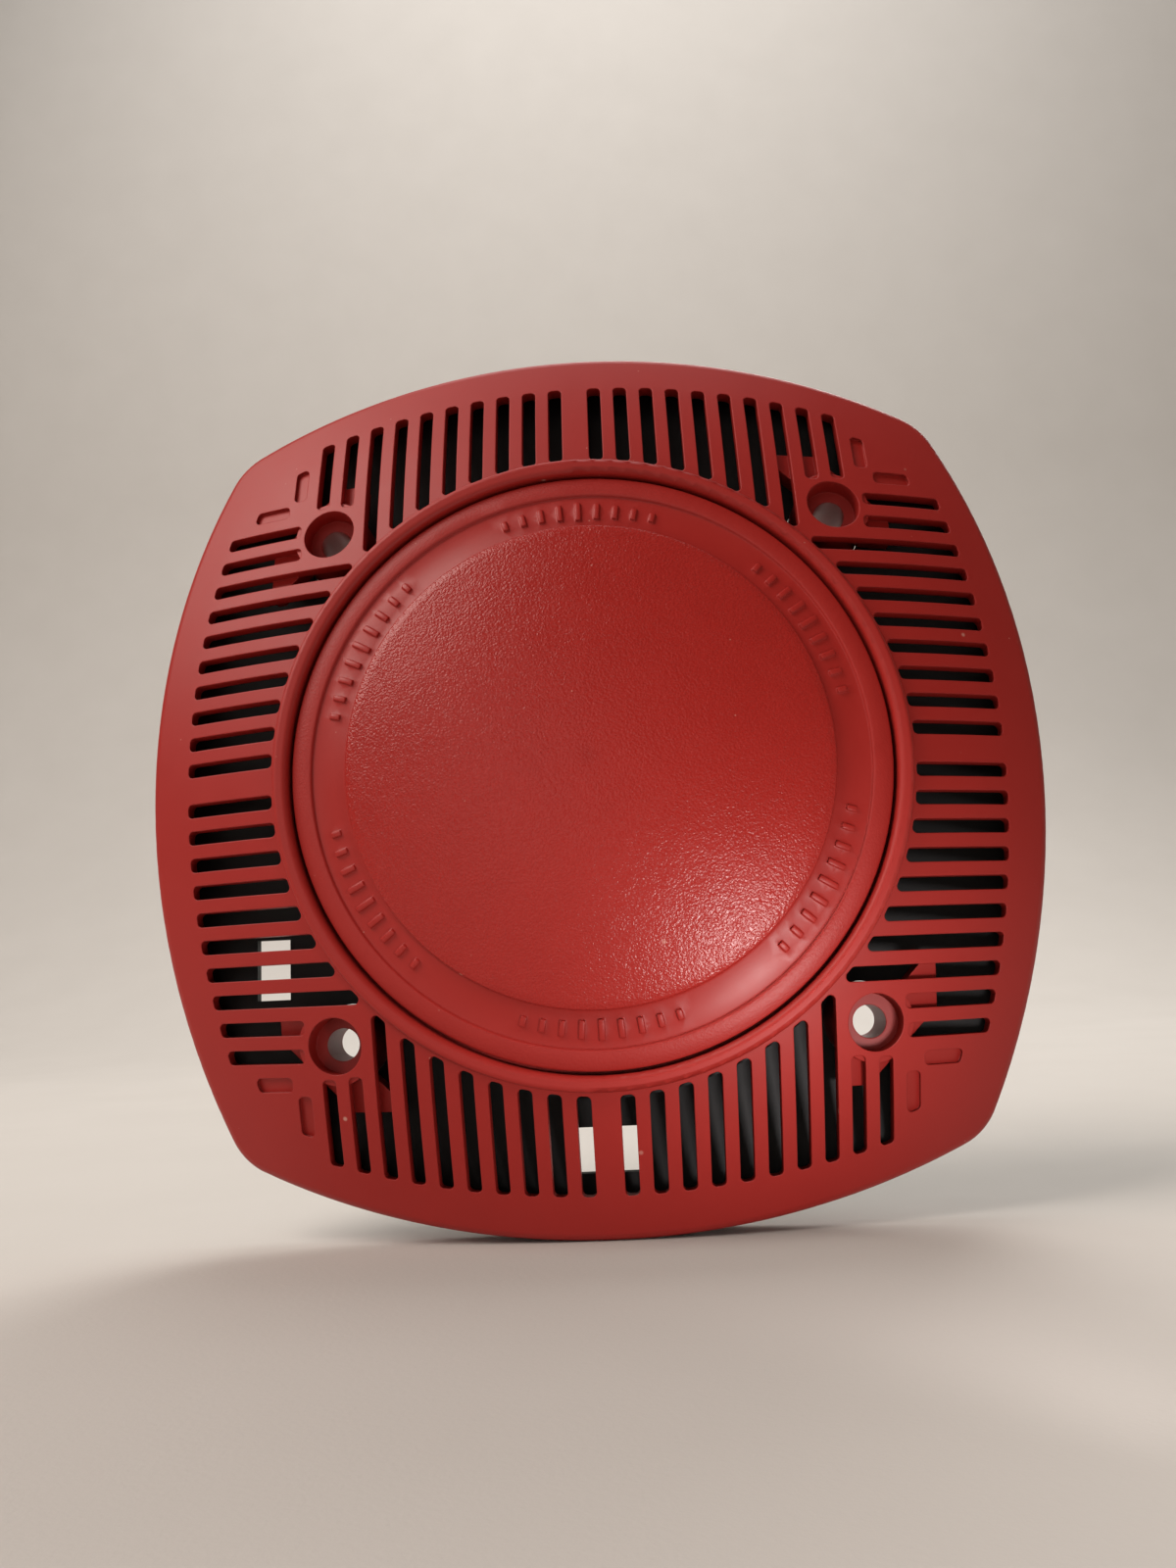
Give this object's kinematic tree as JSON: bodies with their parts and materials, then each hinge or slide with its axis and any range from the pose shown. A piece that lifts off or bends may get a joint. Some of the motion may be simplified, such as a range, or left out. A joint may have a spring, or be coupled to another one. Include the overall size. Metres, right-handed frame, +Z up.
{
  "type": "wall fire alarm speaker",
  "caption": "Square red wall-mounted fire alarm speaker with a slotted grille, a round snap-in cap, and a speaker, transformer and terminals behind.",
  "frame": {"origin": "middle of the four box screw holes, on the wall plane", "axes": "+X right, +Z up, the face looks along -Y and +Y goes into the wall"},
  "size_m": [0.1326, 0.0565, 0.1326],
  "materials": {
    "red_plastic": "satin moulded",
    "black_plastic": "matte moulded",
    "zinc_steel": "zinc plated",
    "pressed_steel": "satin black",
    "paper_cone": "felted paper",
    "foam": "soft foam",
    "treated_cloth": "woven, resin treated",
    "ferrite": "ground ferrite",
    "copper": "enamelled wire",
    "coil_paper": "kraft paper",
    "tag_board": "phenolic board",
    "tinned_brass": "tinned",
    "red_lead": "satin",
    "black_lead": "satin",
    "board_green": "solder mask",
    "core_steel": "varnished laminations",
    "nylon": "natural nylon",
    "winding_tape": "yellow tape",
    "blue_plastic": "moulded",
    "white_plastic": "moulded",
    "capacitor_sleeve": "shrink sleeve",
    "resistor_body": "lacquered",
    "green_plastic": "moulded",
    "paper_label": "satin paper"
  },
  "bodies": {
    "root": {"faceplate": "red_plastic", "center_cap": "red_plastic", "back_plate": "black_plastic", "plate_screws": "zinc_steel", "speaker_basket": "pressed_steel", "cone_surround": "foam", "cone_gasket": "foam", "spider": "treated_cloth", "magnet_top_plate": "zinc_steel", "speaker_magnet": "ferrite", "magnet_yoke": "zinc_steel", "rating_label": "paper_label", "speaker_screws": "zinc_steel", "speaker_tag_strip": "tag_board", "speaker_tags": "tinned_brass", "speaker_lead_red": "red_lead", "speaker_lead_black": "black_lead", "circuit_board": "board_green", "board_screws": "zinc_steel", "transformer_core": "core_steel", "transformer_bobbin": "nylon", "transformer_winding": "winding_tape", "transformer_strap": "zinc_steel", "tap_selector_body": "blue_plastic", "jumper_pins": "tinned_brass", "jumper_header": "black_plastic", "blocking_capacitor": "capacitor_sleeve", "board_resistors": "resistor_body", "terminal_block": "green_plastic"},
    "cone": {"speaker_cone": "paper_cone", "dust_cap": "paper_cone", "voice_coil_former": "coil_paper", "voice_coil": "copper"},
    "knob": {"tap_selector_knob": "white_plastic"},
    "shunt": {"jumper_shunt": "blue_plastic"},
    "clamp_1": {"terminal_clamp_1": "zinc_steel"},
    "screw_1": {"terminal_screw_1": "zinc_steel"},
    "clamp_2": {"terminal_clamp_2": "zinc_steel"},
    "screw_2": {"terminal_screw_2": "zinc_steel"},
    "clamp_3": {"terminal_clamp_3": "zinc_steel"},
    "screw_3": {"terminal_screw_3": "zinc_steel"},
    "clamp_4": {"terminal_clamp_4": "zinc_steel"},
    "screw_4": {"terminal_screw_4": "zinc_steel"}
  },
  "joints": [
    {"name": "cone_travel", "type": "slide", "parent": "root", "child": "cone", "axis": [0, -1, 0], "range_m": [-0.001, 0.001], "stiffness_N_per_m": 1500, "deforming": ["cone_surround", "spider"]},
    {"name": "tap_turn", "type": "hinge", "parent": "root", "child": "knob", "pos_m": [0.0365, 0.0175, 0], "axis": [0, 1, 0], "range_deg": [0, 120]},
    {"name": "jumper_pull", "type": "slide", "parent": "root", "child": "shunt", "axis": [0, 1, 0], "range_m": [0, 0.006]},
    {"name": "clamp_1_close", "type": "slide", "parent": "root", "child": "clamp_1", "axis": [0, -1, 0], "range_m": [0, 0.004]},
    {"name": "screw_1_turn", "type": "hinge", "parent": "clamp_1", "child": "screw_1", "pos_m": [-0.01125, 0.026, -0.0367], "axis": [0, -1, 0], "range_deg": [0, 2060]},
    {"name": "clamp_2_close", "type": "slide", "parent": "root", "child": "clamp_2", "axis": [0, -1, 0], "range_m": [0, 0.004]},
    {"name": "screw_2_turn", "type": "hinge", "parent": "clamp_2", "child": "screw_2", "pos_m": [-0.00375, 0.026, -0.0367], "axis": [0, -1, 0], "range_deg": [0, 2060]},
    {"name": "clamp_3_close", "type": "slide", "parent": "root", "child": "clamp_3", "axis": [0, -1, 0], "range_m": [0, 0.004]},
    {"name": "screw_3_turn", "type": "hinge", "parent": "clamp_3", "child": "screw_3", "pos_m": [0.00375, 0.026, -0.0367], "axis": [0, -1, 0], "range_deg": [0, 2060]},
    {"name": "clamp_4_close", "type": "slide", "parent": "root", "child": "clamp_4", "axis": [0, -1, 0], "range_m": [0, 0.004]},
    {"name": "screw_4_turn", "type": "hinge", "parent": "clamp_4", "child": "screw_4", "pos_m": [0.01125, 0.026, -0.0367], "axis": [0, -1, 0], "range_deg": [0, 2060]}
  ],
  "couplings": [
    {"joint": "screw_1_turn", "follows": "clamp_1_close", "rad_per_m": 8976},
    {"joint": "screw_2_turn", "follows": "clamp_2_close", "rad_per_m": 8976},
    {"joint": "screw_3_turn", "follows": "clamp_3_close", "rad_per_m": 8976},
    {"joint": "screw_4_turn", "follows": "clamp_4_close", "rad_per_m": 8976}
  ]
}
